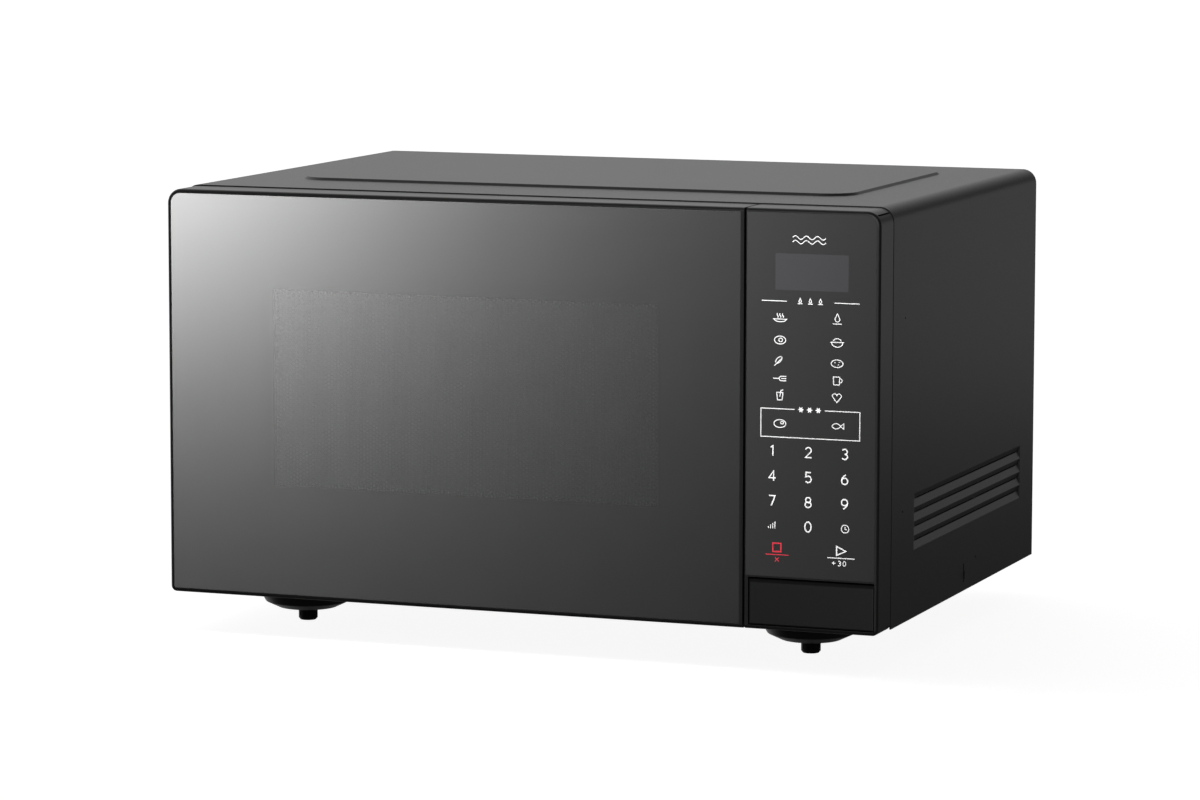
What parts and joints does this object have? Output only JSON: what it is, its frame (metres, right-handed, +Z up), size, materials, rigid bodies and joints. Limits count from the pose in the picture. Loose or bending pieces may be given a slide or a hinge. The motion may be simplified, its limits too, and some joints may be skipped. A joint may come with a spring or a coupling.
{
  "type": "microwave oven",
  "caption": "Countertop microwave oven with a side-hinged glass door, roller-borne glass turntable, push-to-open button and touch control panel.",
  "frame": {"origin": "on the counter, under the middle of the oven's bounding box", "axes": "+X to the right of a person facing the door, the door and panel face -Y, +Z up from the feet"},
  "size_m": [0.5142, 0.404, 0.3089],
  "materials": {
    "case_paint": "fine satin powder coat, black",
    "frame_paint": "satin black paint",
    "cavity_enamel": "grey oven enamel, semi-gloss",
    "galvanised_steel": "plain zinc-coated sheet",
    "screen_steel": "black painted perforated sheet",
    "screw_steel": "blackened zinc",
    "spring_steel": "drawn wire",
    "motor_steel": "zinc-plated pressed steel",
    "fin_aluminium": "plain mill finish",
    "ferrite": "sintered, matt",
    "mica": "pressed mica sheet",
    "black_plastic": "moulded, satin",
    "button_plastic": "moulded, fine satin",
    "foot_plastic": "moulded, matt",
    "latch_plastic": "moulded acetal, satin",
    "roller_plastic": "moulded, satin",
    "duct_plastic": "moulded, flame-retardant, matt",
    "switch_plastic": "moulded phenolic, matt",
    "panel_overlay": "printed film, soft gloss",
    "membrane_film": "printed polyester film",
    "display_lens": "smoked, gloss",
    "legend_white": "printed ink",
    "legend_red": "printed ink",
    "circuit_board": "glass-epoxy laminate with solder mask",
    "capacitor_sleeve": "shrink sleeve",
    "door_glass": "tempered, back-printed black, reflective",
    "inner_film": "clear sheet",
    "tray_glass": "pressed soda glass, clear"
  },
  "bodies": {
    "cabinet": {"outer_cabinet": "case_paint", "base_plate": "galvanised_steel", "rear_panel": "case_paint", "rear_air_guide": "black_plastic", "rear_spacers": "black_plastic", "cord_gland": "black_plastic", "cabinet_screws": "screw_steel", "front_frame": "frame_paint", "hinge_bracket_bottom": "galvanised_steel", "hinge_bracket_top": "galvanised_steel", "oven_cavity": "cavity_enamel", "waveguide": "galvanised_steel", "waveguide_cover": "mica", "magnetron_yoke": "galvanised_steel", "magnetron_tube": "fin_aluminium", "magnetron_magnets": "ferrite", "magnetron_filter_box": "galvanised_steel", "thermal_cutouts": "switch_plastic", "fan_housing": "duct_plastic", "fan_motor": "motor_steel", "air_duct": "duct_plastic", "inverter_tray": "duct_plastic", "inverter_board": "circuit_board", "inverter_heatsink": "fin_aluminium", "inverter_transformer": "ferrite", "inverter_capacitors": "capacitor_sleeve", "line_filter_board": "circuit_board", "cavity_lamp": "switch_plastic", "humidity_sensor": "switch_plastic", "turntable_motor": "motor_steel", "control_panel_housing": "black_plastic", "control_panel_overlay": "panel_overlay", "display_window": "display_lens", "keypad_membrane": "membrane_film", "control_board": "circuit_board", "display_module": "display_lens", "button_spring": "spring_steel", "interlock_bracket": "latch_plastic", "interlock_switches": "switch_plastic", "foot_front_left": "foot_plastic", "foot_front_right": "foot_plastic", "foot_rear_left": "foot_plastic", "foot_rear_right": "foot_plastic"},
    "door": {"door_frame": "black_plastic", "door_glass": "door_glass", "door_screen": "screen_steel", "door_choke_cover": "black_plastic", "door_inner_window": "inner_film", "door_screws": "screw_steel", "latch_spring": "spring_steel"},
    "door_latch": {"door_hook": "latch_plastic"},
    "door_button": {"door_button": "button_plastic"},
    "release_lever": {"release_lever": "latch_plastic"},
    "turntable": {"turntable_coupler": "roller_plastic", "glass_tray": "tray_glass"},
    "roller_ring": {"roller_ring": "roller_plastic"},
    "roller_wheel_1": {"roller_wheel_1": "roller_plastic"},
    "roller_wheel_2": {"roller_wheel_2": "roller_plastic"},
    "roller_wheel_3": {"roller_wheel_3": "roller_plastic"},
    "fan": {"fan_blade": "duct_plastic"}
  },
  "joints": [
    {"name": "door_hinge", "type": "hinge", "parent": "cabinet", "child": "door", "pos_m": [-0.25, -0.185, 0.1665], "axis": [0, 0, -1], "range_deg": [0, 100]},
    {"name": "button_press", "type": "slide", "parent": "cabinet", "child": "door_button", "axis": [0, 1, 0], "range_m": [0, 0.006], "stiffness_N_per_m": 300, "springref_m": -0.006, "deforming": ["button_spring"]},
    {"name": "release_lever_pivot", "type": "hinge", "parent": "cabinet", "child": "release_lever", "pos_m": [0.1585, -0.166, 0.0685], "axis": [1, 0, 0], "range_deg": [0, 17.2]},
    {"name": "latch_lift", "type": "slide", "parent": "door", "child": "door_latch", "axis": [0, 0, 1], "range_m": [0, 0.0046], "deforming": ["latch_spring"]},
    {"name": "turntable_spin", "type": "hinge", "parent": "cabinet", "child": "turntable", "pos_m": [-0.0465, -0.0085, 0.0765], "axis": [0, 0, 1], "continuous": true},
    {"name": "roller_ring_spin", "type": "hinge", "parent": "cabinet", "child": "roller_ring", "pos_m": [-0.0465, -0.0085, 0.0759], "axis": [0, 0, 1], "continuous": true},
    {"name": "roller_wheel_1_spin", "type": "hinge", "parent": "roller_ring", "child": "roller_wheel_1", "pos_m": [-0.0465, 0.1005, 0.0759], "axis": [0, 1, 0], "continuous": true},
    {"name": "roller_wheel_2_spin", "type": "hinge", "parent": "roller_ring", "child": "roller_wheel_2", "pos_m": [-0.1409, -0.063, 0.0759], "axis": [-0.866, -0.5, 0], "continuous": true},
    {"name": "roller_wheel_3_spin", "type": "hinge", "parent": "roller_ring", "child": "roller_wheel_3", "pos_m": [0.0479, -0.063, 0.0759], "axis": [0.866, -0.5, 0], "continuous": true},
    {"name": "fan_spin", "type": "hinge", "parent": "cabinet", "child": "fan", "pos_m": [0.1915, 0.156, 0.2165], "axis": [0, 1, 0], "continuous": true}
  ],
  "couplings": [
    {"joint": "release_lever_pivot", "follows": "button_press", "rad_per_m": 50},
    {"joint": "latch_lift", "follows": "button_press", "ratio": 0.75},
    {"joint": "roller_ring_spin", "follows": "turntable_spin", "ratio": 0.5},
    {"joint": "roller_wheel_1_spin", "follows": "turntable_spin", "ratio": -6.0556},
    {"joint": "roller_wheel_2_spin", "follows": "turntable_spin", "ratio": -6.0556},
    {"joint": "roller_wheel_3_spin", "follows": "turntable_spin", "ratio": -6.0556}
  ]
}
